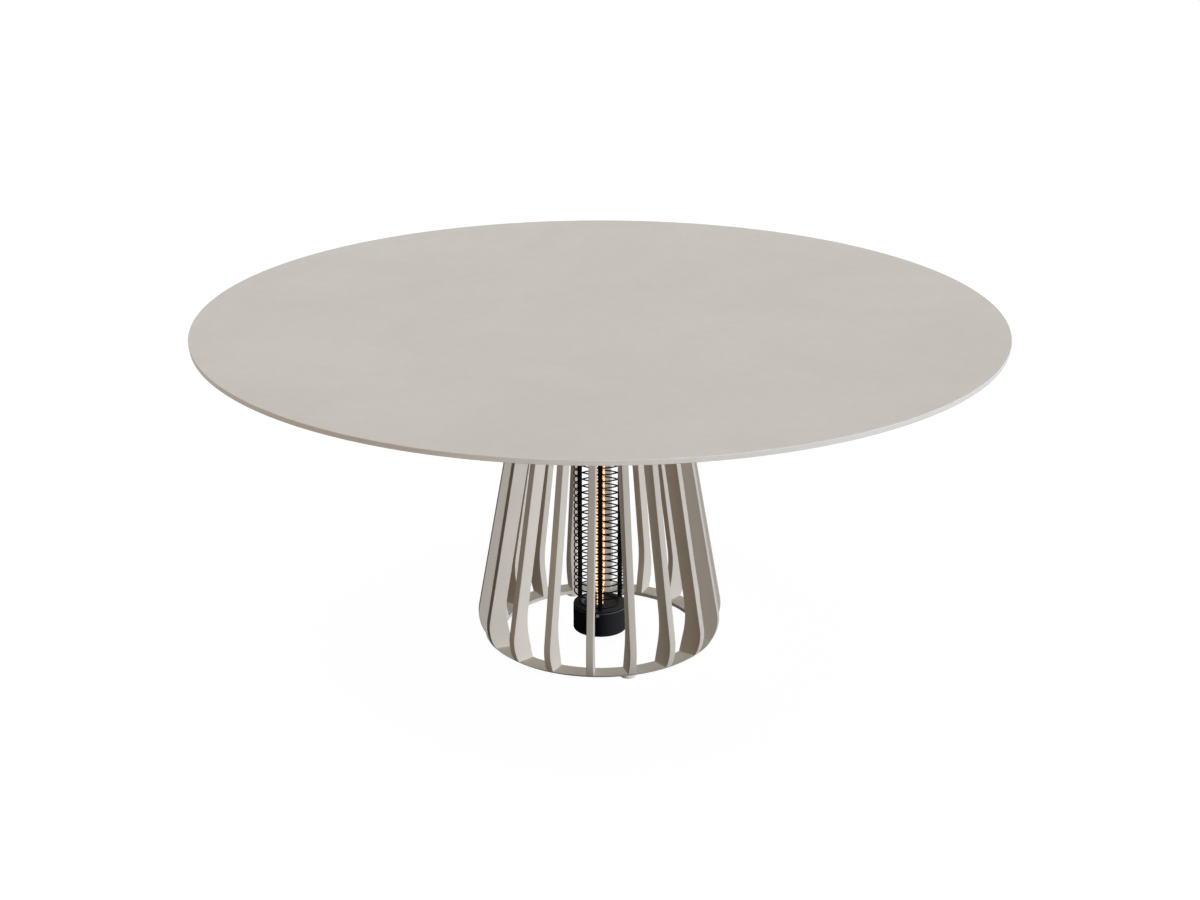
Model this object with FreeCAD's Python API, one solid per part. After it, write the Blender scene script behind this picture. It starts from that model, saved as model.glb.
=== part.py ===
import FreeCAD, Part
import math
import os

# Round table with a slatted, belly-shaped base and an infrared heater hanging inside it.
# Millimetres, +Z up. The origin is on the floor, on the table's axis, and -Y is the front.
# An azimuth is an angle about the axis from the front, positive to the right as seen from the front.

# Table as a whole
TABLE_DIAMETER = 1800.0
TABLE_HEIGHT = 755.0

# Slab
SLAB_THICKNESS = 12.0
SLAB_RIM_TAPER = 2.0
SLAB_EDGE_EASE = 0.7

# Support under the slab
PAD_THICKNESS = 2.0
PAD_RADIUS = 14.0
PADS_PER_ARM = 2
ARM_COUNT = 6
ARM_REACH = 600.0
ARM_WIDTH = 40.0
ARM_HEIGHT = 20.0
ARM_WALL = 2.0
ARM_CENTRE_GAP = 20.0
ARM_CAP_THICKNESS = 2.5
ARM_CAP_PLUG = 12.0
HEAD_THICKNESS = 8.0
HEAD_MARGIN = 2.5

# Slats
SLAT_COUNT = 18
SLAT_FIRST_AZIMUTH = -4.7
SLAT_THICKNESS = 16.0
SLAT_DEPTH = 34.0
SLAT_FOOT_WIDTH = 43.0
SLAT_LEAN_DEG = 10.05
SLAT_FOOT_SLOPE_DEG = 12.0
SLAT_EDGE_CHAMFER = 0.8
BELLY_RADIUS = 280.0
BELLY_HEIGHT = 60.0
BELLY_ARC = 100.0
INNER_ARC = 200.0
TENON_WIDTH = 22.0
TENON_RECESS = 0.5

# Base ring and feet
RING_THICKNESS = 8.0
RING_UNDERCUT = 10.9
FOOT_SLATS = (2, 6, 11, 15)
FOOT_PAD_RADIUS = 19.0
FOOT_PAD_HEIGHT = 6.7
FOOT_PAD_FLOOR = 1.0
FOOT_PAD_ROUND = 1.2
FOOT_STUD_RADIUS = 4.0
FOOT_STUD_REACH = 38.0
FOOT_STUD_CHAMFER = 1.0

# Heater
HEATER_RADIUS = 61.5
HEATER_FLOOR_GAP = 16.0
HEATER_WALL = 2.0
CUP_HEIGHT = 59.0
CUP_FLOOR = 3.0
CUP_EDGE = 3.0
LID_HEIGHT = 8.0
LID_THICKNESS = 9.0
LID_TOP_RADIUS = 46.0
LID_EDGE_INSET = 0.5
LID_EDGE_HEIGHT = 0.5
DISH_RADIUS = 42.0
DISH_DEPTH = 6.0
DISH_WALL_RUN = 4.0
GASKET_WIDTH = 1.2
GASKET_HEIGHT = 1.8
COLLAR_HEIGHT = 10.0
COLLAR_WALL = 1.5
HOUSING_HEIGHT = 100.0
HOUSING_FLOOR = 4.0
HOUSING_EDGE = 3.0
FLANGE_RADIUS = 78.0
FLANGE_THICKNESS = 4.0

# Heater guard
POST_COUNT = 3
POST_FIRST_AZIMUTH = 0.5
POST_RADIUS = 4.6
POST_CIRCLE = 53.0
POST_END_RADIUS = 2.0
POST_SEAT_DEPTH = 5.0
GUARD_WIRE = 2.8
GUARD_PITCH = 16.0
GUARD_FIRST = 26.0
GUARD_LAST_GAP = 8.0

# Lamp
LAMP_RADIUS = 11.0
LAMP_WALL = 1.2
LAMP_HOLE_GAP = 1.2
SOCKET_RADIUS = 15.0
SOCKET_HEIGHT = 28.0
SOCKET_FLOOR = 8.0
ELEMENT_RADIUS = 7.0
END_CAP_DISC = 3.0
END_CAP_PLUG = 14.0

# Electrical pieces in the upper housing
TERMINAL_SIZE = (34.0, 18.0, 14.0)
TERMINAL_OFFSET = 26.0
CUTOUT_RADIUS = 8.0
CUTOUT_HEIGHT = 9.0
CUTOUT_OFFSET = 34.0
GLAND_AZIMUTH = 180.0
GLAND_BORE = 4.0
GLAND_THREAD_RADIUS = 8.0
GLAND_FLATS = 22.0
GLAND_HEX_LENGTH = 6.0
GLAND_DOME_RADIUS = 9.5
GLAND_DOME_LENGTH = 12.0
GLAND_INSIDE = 9.0
GLAND_DROP = 34.0

# Fasteners
M4_RADIUS = 2.0
M4_HEAD_RADIUS = 3.6
M4_HEAD_HEIGHT = 2.2
M4_LENGTH = 6.0
M5_RADIUS = 2.5
M5_HEAD_RADIUS = 4.5
M5_HEAD_HEIGHT = 3.0
M6_RADIUS = 3.0
M6_HEAD_RADIUS = 5.5
M6_HEAD_HEIGHT = 3.5
M6_STICK_OUT = 4.0
ARM_SCREW_EDGE = 22.0
ARM_SCREW_INSET = 34.0
FLANGE_SCREW_EDGE = 8.0
RIM_SCREW_FIRST_AZIMUTH = -5.0
RIM_SCREW_COUNT = 3
NUT_FLATS = 7.0
NUT_HEIGHT = 3.2
NUT_STICK_OUT = 0.8

# Clearances
FIXED_GAP = 0.1
RUNNING_GAP = 0.05
SEAT_GAP = 0.3

# Levels, from the floor up
RING_BOTTOM = FOOT_PAD_HEIGHT + SEAT_GAP
RING_TOP = RING_BOTTOM + RING_THICKNESS
CUP_TOP = HEATER_FLOOR_GAP + CUP_HEIGHT
GASKET_TOP = CUP_TOP + GASKET_HEIGHT
LID_TOP = CUP_TOP + LID_HEIGHT
LID_UNDERSIDE = LID_TOP - LID_THICKNESS
POST_SEAT = LID_TOP - POST_SEAT_DEPTH

# Levels, from the slab down
SLAB_BOTTOM = TABLE_HEIGHT - SLAB_THICKNESS
ARM_TOP = SLAB_BOTTOM - PAD_THICKNESS
HEAD_TOP = ARM_TOP - ARM_HEIGHT
HEAD_BOTTOM = HEAD_TOP - HEAD_THICKNESS
FLANGE_BOTTOM = HEAD_BOTTOM - FLANGE_THICKNESS
HOUSING_BOTTOM = FLANGE_BOTTOM - HOUSING_HEIGHT

# Slat profile: the outer line touches the belly's arc where the arc leans as the line does
LEAN = math.radians(SLAT_LEAN_DEG)
FOOT_SLOPE = math.radians(SLAT_FOOT_SLOPE_DEG)
BELLY_CENTRE = (BELLY_RADIUS - BELLY_ARC, RING_BOTTOM + BELLY_HEIGHT)
BELLY_TANGENT = (
    BELLY_CENTRE[0] + BELLY_ARC * math.cos(LEAN),
    BELLY_CENTRE[1] + BELLY_ARC * math.sin(LEAN),
)
INNER_CLEAR_RADIUS = HEATER_RADIUS - HEATER_WALL


def belly_radius_at(height):
    """Radius of the belly's arc at a height below its tangent point."""
    rise = height - BELLY_CENTRE[1]
    return BELLY_CENTRE[0] + math.sqrt(BELLY_ARC**2 - rise**2)


def slat_outer_at(height):
    """Radius of the slat's straight outer edge at a height."""
    return BELLY_TANGENT[0] - (height - BELLY_TANGENT[1]) * math.tan(LEAN)


RING_OUTER = belly_radius_at(RING_TOP)
RING_INNER = RING_OUTER - SLAT_FOOT_WIDTH
RING_LOWER_OUTER = RING_OUTER - RING_UNDERCUT
RING_MIDDLE = (RING_LOWER_OUTER + RING_INNER) / 2
HEAD_SLAT_OUTER = slat_outer_at(HEAD_BOTTOM)
HEAD_SLAT_MIDDLE = HEAD_SLAT_OUTER - SLAT_DEPTH / 2
HEAD_RADIUS = HEAD_SLAT_OUTER + HEAD_MARGIN
SLAT_PITCH = 360.0 / SLAT_COUNT
ARM_FIRST_AZIMUTH = SLAT_FIRST_AZIMUTH + SLAT_PITCH * (FOOT_SLATS[0] - 0.5)
ARM_START = ARM_WIDTH / 2 / math.tan(math.pi / ARM_COUNT) + ARM_CENTRE_GAP
ARM_SCREW_RADII = (ARM_START + ARM_SCREW_INSET, HEAD_RADIUS - ARM_SCREW_EDGE)
FLANGE_SCREW_CIRCLE = FLANGE_RADIUS - FLANGE_SCREW_EDGE


def at_azimuth(shape, azimuth):
    """Turn a shape that was built along +X to an azimuth."""
    turned = shape.copy()
    turned.rotate(FreeCAD.Vector(0, 0, 0), FreeCAD.Vector(0, 0, 1), azimuth - 90)
    return turned


def around(shape, count, first_azimuth):
    """Evenly spaced copies of a shape that was built along +X."""
    return [at_azimuth(shape, first_azimuth + i * 360.0 / count) for i in range(count)]


def cylinder(radius, bottom, top, x=0.0):
    """Upright cylinder between two heights."""
    return Part.makeCylinder(radius, top - bottom, FreeCAD.Vector(x, 0, bottom))


def radial_cylinder(radius, start, end, height):
    """Cylinder along +X between two distances from the axis."""
    return Part.makeCylinder(radius, end - start, FreeCAD.Vector(start, 0, height), FreeCAD.Vector(1, 0, 0))


def radial_box(start, end, width, bottom, top):
    """Box along +X, centred across, between two distances from the axis."""
    return Part.makeBox(end - start, width, top - bottom, FreeCAD.Vector(start, -width / 2, bottom))


def hexagon(flats, bottom, top):
    """Upright hexagonal prism on the axis."""
    corner = flats / math.sqrt(3)
    points = []
    for i in range(7):
        angle = i * math.pi / 3
        points.append(FreeCAD.Vector(corner * math.cos(angle), corner * math.sin(angle), bottom))
    face = Part.Face(Part.makePolygon(points))
    return face.extrude(FreeCAD.Vector(0, 0, top - bottom))


def revolved(outline):
    """Solid of revolution about the axis from (radius, height) points."""
    points = [FreeCAD.Vector(r, 0, z) for r, z in outline]
    face = Part.Face(Part.makePolygon(points + points[:1]))
    return face.revolve(FreeCAD.Vector(0, 0, 0), FreeCAD.Vector(0, 0, 1), 360)


def ring(outer, inner, bottom, top):
    """Flat ring between two radii and two heights."""
    return cylinder(outer, bottom, top).cut(cylinder(inner, bottom, top))


def lie_along_x(shape, start, height):
    """Lay a shape built up +Z along +X, starting at a distance from the axis."""
    laid = shape.copy()
    laid.rotate(FreeCAD.Vector(0, 0, 0), FreeCAD.Vector(0, 1, 0), 90)
    laid.translate(FreeCAD.Vector(start, 0, height))
    return laid


def save(shape, name):
    """Write one sub-part."""
    shape.exportStep(f"parts/{name}.step")


def save_group(shapes, name):
    """Write identical pieces as one sub-part of separate solids."""
    save(Part.makeCompound(shapes), name)


# Slab and its support


def make_slab():
    rim = TABLE_DIAMETER / 2
    lower_rim = rim - SLAB_RIM_TAPER
    outline = [
        (0, SLAB_BOTTOM),
        (lower_rim - SLAB_EDGE_EASE, SLAB_BOTTOM),
        (lower_rim, SLAB_BOTTOM + SLAB_EDGE_EASE),
        (rim, TABLE_HEIGHT - SLAB_EDGE_EASE),
        (rim - SLAB_EDGE_EASE, TABLE_HEIGHT),
        (0, TABLE_HEIGHT),
    ]
    return revolved(outline)


def make_arm():
    tube = radial_box(ARM_START, ARM_REACH, ARM_WIDTH, HEAD_TOP, ARM_TOP)
    bore = radial_box(
        ARM_START, ARM_REACH, ARM_WIDTH - 2 * ARM_WALL, HEAD_TOP + ARM_WALL, ARM_TOP - ARM_WALL
    )
    tube = tube.cut(bore)
    for radius in ARM_SCREW_RADII:
        tube = tube.cut(cylinder(M6_RADIUS + FIXED_GAP, HEAD_TOP, HEAD_TOP + ARM_WALL, radius))
    return tube


def make_arm_cap():
    plate = radial_box(ARM_REACH, ARM_REACH + ARM_CAP_THICKNESS, ARM_WIDTH, HEAD_TOP, ARM_TOP)
    inset = ARM_WALL + FIXED_GAP
    plug = radial_box(
        ARM_REACH - ARM_CAP_PLUG, ARM_REACH, ARM_WIDTH - 2 * inset, HEAD_TOP + inset, ARM_TOP - inset
    )
    return plate.fuse(plug)


def make_arm_screws():
    screws = []
    for radius in ARM_SCREW_RADII:
        head = cylinder(M6_HEAD_RADIUS, HEAD_BOTTOM - M6_HEAD_HEIGHT, HEAD_BOTTOM, radius)
        shank = cylinder(M6_RADIUS, HEAD_BOTTOM, HEAD_TOP + ARM_WALL + M6_STICK_OUT, radius)
        screws += around(head.fuse(shank), ARM_COUNT, ARM_FIRST_AZIMUTH)
    return screws


def make_pads():
    pads = []
    span = ARM_REACH - HEAD_RADIUS
    for i in range(PADS_PER_ARM):
        radius = HEAD_RADIUS + span * (i + 1) / PADS_PER_ARM - 2 * PAD_RADIUS
        pads += around(cylinder(PAD_RADIUS, ARM_TOP, SLAB_BOTTOM, radius), ARM_COUNT, ARM_FIRST_AZIMUTH)
    return pads


def make_head_plate():
    plate = cylinder(HEAD_RADIUS, HEAD_BOTTOM, HEAD_TOP)
    slot = radial_box(
        HEAD_SLAT_MIDDLE - TENON_WIDTH / 2 - FIXED_GAP,
        HEAD_SLAT_MIDDLE + TENON_WIDTH / 2 + FIXED_GAP,
        SLAT_THICKNESS + 2 * FIXED_GAP,
        HEAD_BOTTOM,
        HEAD_TOP,
    )
    cuts = around(slot, SLAT_COUNT, SLAT_FIRST_AZIMUTH)
    for radius in ARM_SCREW_RADII:
        hole = cylinder(M6_RADIUS + FIXED_GAP, HEAD_BOTTOM, HEAD_TOP, radius)
        cuts += around(hole, ARM_COUNT, ARM_FIRST_AZIMUTH)
    hole = cylinder(M5_RADIUS + FIXED_GAP, HEAD_BOTTOM, HEAD_TOP, FLANGE_SCREW_CIRCLE)
    cuts += around(hole, POST_COUNT, POST_FIRST_AZIMUTH)
    return plate.cut(cuts)


# Slatted base


def profile_point(radius, height):
    return FreeCAD.Vector(radius, -SLAT_THICKNESS / 2, height)


def make_slat():
    """Slat along +X: a plate with a leaning outer edge, a belly and a tenon at each end."""
    # Inner edge: the leaning line and the foot's slope, rounded where they meet
    inner_head = HEAD_SLAT_OUTER - SLAT_DEPTH
    reach = HEAD_BOTTOM - RING_TOP
    meet = (inner_head - RING_INNER + reach * math.tan(LEAN)) / (math.tan(LEAN) + math.tan(FOOT_SLOPE))
    corner = (RING_INNER + meet * math.tan(FOOT_SLOPE), RING_TOP + meet)
    turn = (LEAN + FOOT_SLOPE) / 2
    run = INNER_ARC * math.tan(turn)
    lower = (corner[0] - run * math.sin(FOOT_SLOPE), corner[1] - run * math.cos(FOOT_SLOPE))
    upper = (corner[0] - run * math.sin(LEAN), corner[1] + run * math.cos(LEAN))
    inward = INNER_ARC / math.cos(turn) - INNER_ARC
    tilt = (LEAN - FOOT_SLOPE) / 2
    middle = (corner[0] - inward * math.cos(tilt), corner[1] - inward * math.sin(tilt))

    # Middle of the belly's arc between the base ring and its tangent point
    low_angle = math.asin((RING_TOP - BELLY_CENTRE[1]) / BELLY_ARC)
    half_angle = (low_angle + LEAN) / 2
    belly_middle = (
        BELLY_CENTRE[0] + BELLY_ARC * math.cos(half_angle),
        BELLY_CENTRE[1] + BELLY_ARC * math.sin(half_angle),
    )

    half_tenon = TENON_WIDTH / 2
    tenon_low = RING_BOTTOM + TENON_RECESS
    tenon_high = HEAD_TOP - TENON_RECESS
    belly = Part.Arc(
        profile_point(RING_OUTER, RING_TOP), profile_point(*belly_middle), profile_point(*BELLY_TANGENT)
    ).toShape()
    waist = Part.Arc(profile_point(*upper), profile_point(*middle), profile_point(*lower)).toShape()
    outer_line = Part.makeLine(profile_point(*BELLY_TANGENT), profile_point(HEAD_SLAT_OUTER, HEAD_BOTTOM))
    inner_line = Part.makeLine(profile_point(inner_head, HEAD_BOTTOM), profile_point(*upper))
    foot_line = Part.makeLine(profile_point(*lower), profile_point(RING_INNER, RING_TOP))
    head_end = Part.makePolygon(
        [
            profile_point(HEAD_SLAT_OUTER, HEAD_BOTTOM),
            profile_point(HEAD_SLAT_MIDDLE + half_tenon, HEAD_BOTTOM),
            profile_point(HEAD_SLAT_MIDDLE + half_tenon, tenon_high),
            profile_point(HEAD_SLAT_MIDDLE - half_tenon, tenon_high),
            profile_point(HEAD_SLAT_MIDDLE - half_tenon, HEAD_BOTTOM),
            profile_point(inner_head, HEAD_BOTTOM),
        ]
    )
    foot_end = Part.makePolygon(
        [
            profile_point(RING_INNER, RING_TOP),
            profile_point(RING_MIDDLE - half_tenon, RING_TOP),
            profile_point(RING_MIDDLE - half_tenon, tenon_low),
            profile_point(RING_MIDDLE + half_tenon, tenon_low),
            profile_point(RING_MIDDLE + half_tenon, RING_TOP),
            profile_point(RING_OUTER, RING_TOP),
        ]
    )
    long_edges = [belly, outer_line, inner_line, waist, foot_line]
    edges = [belly, outer_line] + head_end.Edges + [inner_line, waist, foot_line] + foot_end.Edges
    face = Part.Face(Part.Wire(Part.__sortEdges__(edges)))
    across = FreeCAD.Vector(0, SLAT_THICKNESS, 0)
    plate = face.extrude(across)

    # Eased long edges on both faces
    wanted = [edge.CenterOfMass for edge in long_edges]
    wanted += [point + across for point in wanted]
    eased = [e for e in plate.Edges if any(e.CenterOfMass.isEqual(p, FIXED_GAP) for p in wanted)]
    return plate.makeChamfer(SLAT_EDGE_CHAMFER, eased)


def make_base_ring():
    outline = [
        (RING_INNER, RING_BOTTOM),
        (RING_LOWER_OUTER, RING_BOTTOM),
        (RING_OUTER, RING_TOP),
        (RING_INNER, RING_TOP),
    ]
    slot = radial_box(
        RING_MIDDLE - TENON_WIDTH / 2 - FIXED_GAP,
        RING_MIDDLE + TENON_WIDTH / 2 + FIXED_GAP,
        SLAT_THICKNESS + 2 * FIXED_GAP,
        RING_BOTTOM,
        RING_TOP,
    )
    return revolved(outline).cut(around(slot, SLAT_COUNT, SLAT_FIRST_AZIMUTH))


# Levelling feet


def make_foot_bore():
    """Threaded bore in a slat's foot, a little deeper than the stud reaches."""
    top = RING_BOTTOM + FOOT_STUD_REACH + SEAT_GAP
    return cylinder(FOOT_STUD_RADIUS + RUNNING_GAP, RING_BOTTOM, top, RING_MIDDLE)


def make_foot_stud():
    low = FOOT_PAD_FLOOR + SEAT_GAP
    high = RING_BOTTOM + FOOT_STUD_REACH
    outline = [
        (0, low),
        (FOOT_STUD_RADIUS, low),
        (FOOT_STUD_RADIUS, high - FOOT_STUD_CHAMFER),
        (FOOT_STUD_RADIUS - FOOT_STUD_CHAMFER, high),
        (0, high),
    ]
    stud = revolved(outline)
    stud.translate(FreeCAD.Vector(RING_MIDDLE, 0, 0))
    return stud


def make_foot_pad():
    outline = [
        (0, 0),
        (FOOT_PAD_RADIUS - FOOT_PAD_ROUND, 0),
        (FOOT_PAD_RADIUS, FOOT_PAD_ROUND),
        (FOOT_PAD_RADIUS, FOOT_PAD_HEIGHT - FOOT_PAD_ROUND),
        (FOOT_PAD_RADIUS - FOOT_PAD_ROUND, FOOT_PAD_HEIGHT),
        (FOOT_STUD_RADIUS + RUNNING_GAP, FOOT_PAD_HEIGHT),
        (FOOT_STUD_RADIUS + RUNNING_GAP, FOOT_PAD_FLOOR),
        (0, FOOT_PAD_FLOOR),
    ]
    pad = revolved(outline)
    pad.translate(FreeCAD.Vector(RING_MIDDLE, 0, 0))
    return pad


# Heater shells


def make_cup():
    outline = [
        (0, HEATER_FLOOR_GAP),
        (HEATER_RADIUS - CUP_EDGE, HEATER_FLOOR_GAP),
        (HEATER_RADIUS, HEATER_FLOOR_GAP + CUP_EDGE),
        (HEATER_RADIUS, CUP_TOP),
        (INNER_CLEAR_RADIUS, CUP_TOP),
        (INNER_CLEAR_RADIUS, HEATER_FLOOR_GAP + CUP_EDGE + CUP_FLOOR),
        (INNER_CLEAR_RADIUS - CUP_EDGE, HEATER_FLOOR_GAP + CUP_FLOOR),
        (0, HEATER_FLOOR_GAP + CUP_FLOOR),
    ]
    return revolved(outline).cut(make_rim_screw_holes(CUP_TOP - COLLAR_HEIGHT / 2))


def make_lid():
    """Lid of the cup: a dished top, a sloping shoulder with seats for the posts, a collar inside the cup."""
    collar_outer = INNER_CLEAR_RADIUS - FIXED_GAP
    collar_inner = collar_outer - COLLAR_WALL
    edge_radius = HEATER_RADIUS - LID_EDGE_INSET
    outline = [
        (LAMP_RADIUS + LAMP_HOLE_GAP, LID_TOP - DISH_DEPTH),
        (DISH_RADIUS - DISH_WALL_RUN, LID_TOP - DISH_DEPTH),
        (DISH_RADIUS, LID_TOP),
        (LID_TOP_RADIUS, LID_TOP),
        (edge_radius, GASKET_TOP + LID_EDGE_HEIGHT),
        (edge_radius, GASKET_TOP),
        (collar_outer, GASKET_TOP),
        (collar_outer, CUP_TOP - COLLAR_HEIGHT),
        (collar_inner, CUP_TOP - COLLAR_HEIGHT),
        (collar_inner, LID_UNDERSIDE),
        (LAMP_RADIUS + LAMP_HOLE_GAP, LID_UNDERSIDE),
    ]
    seat = cylinder(POST_RADIUS + FIXED_GAP, POST_SEAT, LID_TOP, POST_CIRCLE)
    cuts = around(seat, POST_COUNT, POST_FIRST_AZIMUTH) + make_post_holes(LID_UNDERSIDE, POST_SEAT)
    return revolved(outline).cut(cuts + make_rim_screw_holes(CUP_TOP - COLLAR_HEIGHT / 2))


def make_gasket():
    """Sealing ring on the cup's rim, around the lid's collar."""
    return ring(INNER_CLEAR_RADIUS + GASKET_WIDTH, INNER_CLEAR_RADIUS, CUP_TOP, GASKET_TOP)


def make_housing():
    outline = [
        (LAMP_RADIUS + LAMP_HOLE_GAP, HOUSING_BOTTOM),
        (HEATER_RADIUS - HOUSING_EDGE, HOUSING_BOTTOM),
        (HEATER_RADIUS, HOUSING_BOTTOM + HOUSING_EDGE),
        (HEATER_RADIUS, FLANGE_BOTTOM),
        (INNER_CLEAR_RADIUS, FLANGE_BOTTOM),
        (INNER_CLEAR_RADIUS, HOUSING_BOTTOM + HOUSING_FLOOR),
        (LAMP_RADIUS + LAMP_HOLE_GAP, HOUSING_BOTTOM + HOUSING_FLOOR),
    ]
    holes = make_post_holes(HOUSING_BOTTOM, HOUSING_BOTTOM + HOUSING_FLOOR)
    holes += make_rim_screw_holes(FLANGE_BOTTOM - COLLAR_HEIGHT / 2)
    gland_hole = radial_cylinder(
        GLAND_THREAD_RADIUS + FIXED_GAP, INNER_CLEAR_RADIUS - HEATER_WALL, HEATER_RADIUS, gland_height()
    )
    holes.append(at_azimuth(gland_hole, GLAND_AZIMUTH))
    return revolved(outline).cut(holes)


def make_flange():
    collar_outer = INNER_CLEAR_RADIUS - FIXED_GAP
    plate = cylinder(FLANGE_RADIUS, FLANGE_BOTTOM, HEAD_BOTTOM)
    collar = ring(collar_outer, collar_outer - COLLAR_WALL, FLANGE_BOTTOM - COLLAR_HEIGHT, FLANGE_BOTTOM)
    hole = cylinder(M5_RADIUS + FIXED_GAP, FLANGE_BOTTOM, HEAD_BOTTOM, FLANGE_SCREW_CIRCLE)
    holes = around(hole, POST_COUNT, POST_FIRST_AZIMUTH)
    return plate.fuse(collar).cut(holes + make_rim_screw_holes(FLANGE_BOTTOM - COLLAR_HEIGHT / 2))


def make_flange_screws():
    head = cylinder(M5_HEAD_RADIUS, FLANGE_BOTTOM - M5_HEAD_HEIGHT, FLANGE_BOTTOM, FLANGE_SCREW_CIRCLE)
    shank = cylinder(M5_RADIUS, FLANGE_BOTTOM, HEAD_TOP, FLANGE_SCREW_CIRCLE)
    return around(head.fuse(shank), POST_COUNT, POST_FIRST_AZIMUTH)


def make_rim_screw_holes(height):
    start = INNER_CLEAR_RADIUS - COLLAR_WALL - M4_LENGTH
    hole = radial_cylinder(M4_RADIUS + FIXED_GAP, start, HEATER_RADIUS, height)
    return around(hole, RIM_SCREW_COUNT, RIM_SCREW_FIRST_AZIMUTH)


def make_rim_screws(height):
    """Short screws through a shell's wall into the collar inside it."""
    shank = radial_cylinder(M4_RADIUS, HEATER_RADIUS - M4_LENGTH, HEATER_RADIUS, height)
    seat = HEATER_RADIUS - M4_RADIUS**2 / (2 * HEATER_RADIUS)
    head = radial_cylinder(M4_HEAD_RADIUS, HEATER_RADIUS, seat + M4_HEAD_HEIGHT, height)
    return around(head.fuse(shank), RIM_SCREW_COUNT, RIM_SCREW_FIRST_AZIMUTH)


# Heater guard


def make_post_holes(bottom, top):
    hole = cylinder(POST_END_RADIUS + FIXED_GAP, bottom, top, POST_CIRCLE)
    return around(hole, POST_COUNT, POST_FIRST_AZIMUTH)


def post_ends():
    """Heights of the lower and upper tips of a guard post's threaded ends."""
    low = LID_UNDERSIDE - NUT_HEIGHT - NUT_STICK_OUT
    high = HOUSING_BOTTOM + HOUSING_FLOOR + NUT_HEIGHT + NUT_STICK_OUT
    return low, high


def make_post():
    low, high = post_ends()
    rod = cylinder(POST_RADIUS, POST_SEAT, HOUSING_BOTTOM, POST_CIRCLE)
    return rod.fuse(cylinder(POST_END_RADIUS, low, high, POST_CIRCLE))


def make_post_nuts():
    nuts = []
    seats = (LID_UNDERSIDE - NUT_HEIGHT, HOUSING_BOTTOM + HOUSING_FLOOR)
    for seat in seats:
        nut = hexagon(NUT_FLATS, seat, seat + NUT_HEIGHT)
        nut = nut.cut(cylinder(POST_END_RADIUS + RUNNING_GAP, seat, seat + NUT_HEIGHT))
        nut.translate(FreeCAD.Vector(POST_CIRCLE, 0, 0))
        nuts += around(nut, POST_COUNT, POST_FIRST_AZIMUTH)
    return nuts


def make_guard_rings():
    inner = POST_CIRCLE + POST_RADIUS + FIXED_GAP
    first = LID_TOP + GUARD_FIRST
    last = HOUSING_BOTTOM - GUARD_LAST_GAP
    count = int((last - first) / GUARD_PITCH) + 1
    rings = []
    for i in range(count):
        middle = first + i * GUARD_PITCH
        rings.append(ring(inner + GUARD_WIRE, inner, middle - GUARD_WIRE / 2, middle + GUARD_WIRE / 2))
    return rings


# Lamp


def lamp_ends():
    """Heights of the lamp's lower and upper ends, inside its sockets."""
    low = LID_UNDERSIDE - SOCKET_HEIGHT + SOCKET_FLOOR + FIXED_GAP
    high = HOUSING_BOTTOM + HOUSING_FLOOR + SOCKET_HEIGHT - SOCKET_FLOOR - FIXED_GAP
    return low, high


def make_sockets():
    """Lower and upper lamp sockets, cups that open towards each other."""
    low_top = LID_UNDERSIDE
    low_bottom = low_top - SOCKET_HEIGHT
    high_bottom = HOUSING_BOTTOM + HOUSING_FLOOR
    high_top = high_bottom + SOCKET_HEIGHT
    bore = LAMP_RADIUS + FIXED_GAP
    lower = cylinder(SOCKET_RADIUS, low_bottom, low_top)
    lower = lower.cut(cylinder(bore, low_bottom + SOCKET_FLOOR, low_top))
    upper = cylinder(SOCKET_RADIUS, high_bottom, high_top)
    upper = upper.cut(cylinder(bore, high_bottom, high_top - SOCKET_FLOOR))
    return [lower, upper]


def make_lamp_tube():
    low, high = lamp_ends()
    return ring(LAMP_RADIUS, LAMP_RADIUS - LAMP_WALL, low + END_CAP_DISC, high - END_CAP_DISC)


def make_lamp_caps():
    low, high = lamp_ends()
    plug = LAMP_RADIUS - LAMP_WALL - FIXED_GAP
    lower = cylinder(LAMP_RADIUS, low, low + END_CAP_DISC)
    lower = lower.fuse(cylinder(plug, low + END_CAP_DISC, low + END_CAP_DISC + END_CAP_PLUG))
    upper = cylinder(LAMP_RADIUS, high - END_CAP_DISC, high)
    upper = upper.fuse(cylinder(plug, high - END_CAP_DISC - END_CAP_PLUG, high - END_CAP_DISC))
    return [lower, upper]


def make_element():
    low, high = lamp_ends()
    inset = END_CAP_DISC + END_CAP_PLUG
    return cylinder(ELEMENT_RADIUS, low + inset, high - inset)


# Electrical pieces


def make_terminal_block():
    length, width, height = TERMINAL_SIZE
    block = Part.makeBox(
        length,
        width,
        height,
        FreeCAD.Vector(-length / 2, TERMINAL_OFFSET - width / 2, FLANGE_BOTTOM - height),
    )
    return block


def make_thermal_cutout():
    floor = HOUSING_BOTTOM + HOUSING_FLOOR
    return cylinder(CUTOUT_RADIUS, floor, floor + CUTOUT_HEIGHT, -CUTOUT_OFFSET)


def gland_height():
    return FLANGE_BOTTOM - GLAND_DROP


def make_gland():
    """Cable gland through the housing's wall: nut outside, thread through the wall, open bore."""
    hex_end = GLAND_INSIDE + HEATER_WALL + GLAND_HEX_LENGTH
    dome_end = hex_end + GLAND_DOME_LENGTH
    thread = cylinder(GLAND_THREAD_RADIUS, 0, GLAND_INSIDE + HEATER_WALL)
    nut = hexagon(GLAND_FLATS, GLAND_INSIDE + HEATER_WALL, hex_end)
    dome = cylinder(GLAND_DOME_RADIUS, hex_end, dome_end)
    body = thread.fuse([nut, dome]).cut(cylinder(GLAND_BORE, 0, dome_end))
    return at_azimuth(lie_along_x(body, INNER_CLEAR_RADIUS - GLAND_INSIDE, gland_height()), GLAND_AZIMUTH)


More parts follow.
